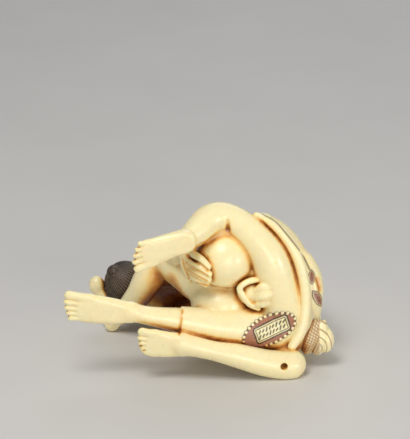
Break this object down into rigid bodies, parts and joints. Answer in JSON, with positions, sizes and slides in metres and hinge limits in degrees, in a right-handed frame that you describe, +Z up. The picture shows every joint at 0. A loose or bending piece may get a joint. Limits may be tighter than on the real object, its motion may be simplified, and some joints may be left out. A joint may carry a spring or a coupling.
{
  "type": "netsuke",
  "caption": "Carved ivory-coloured toggle of two reclining figures, one in a robe with a tied sash, with a curved cord tunnel through the front knee.",
  "frame": {"origin": "middle of the footprint, on the surface that the carving stands on", "axes": "+X to the viewer's right along the longest extent, +Y away from the viewer of the picture, +Z up"},
  "size_m": [0.0549, 0.0411, 0.0347],
  "materials": {
    "ivory": "polished carved ivory, cream with amber stain in the cuts, dark hair and reddish ground on one raised oval"
  },
  "bodies": {
    "root": {"netsuke": "ivory"}
  },
  "joints": []
}
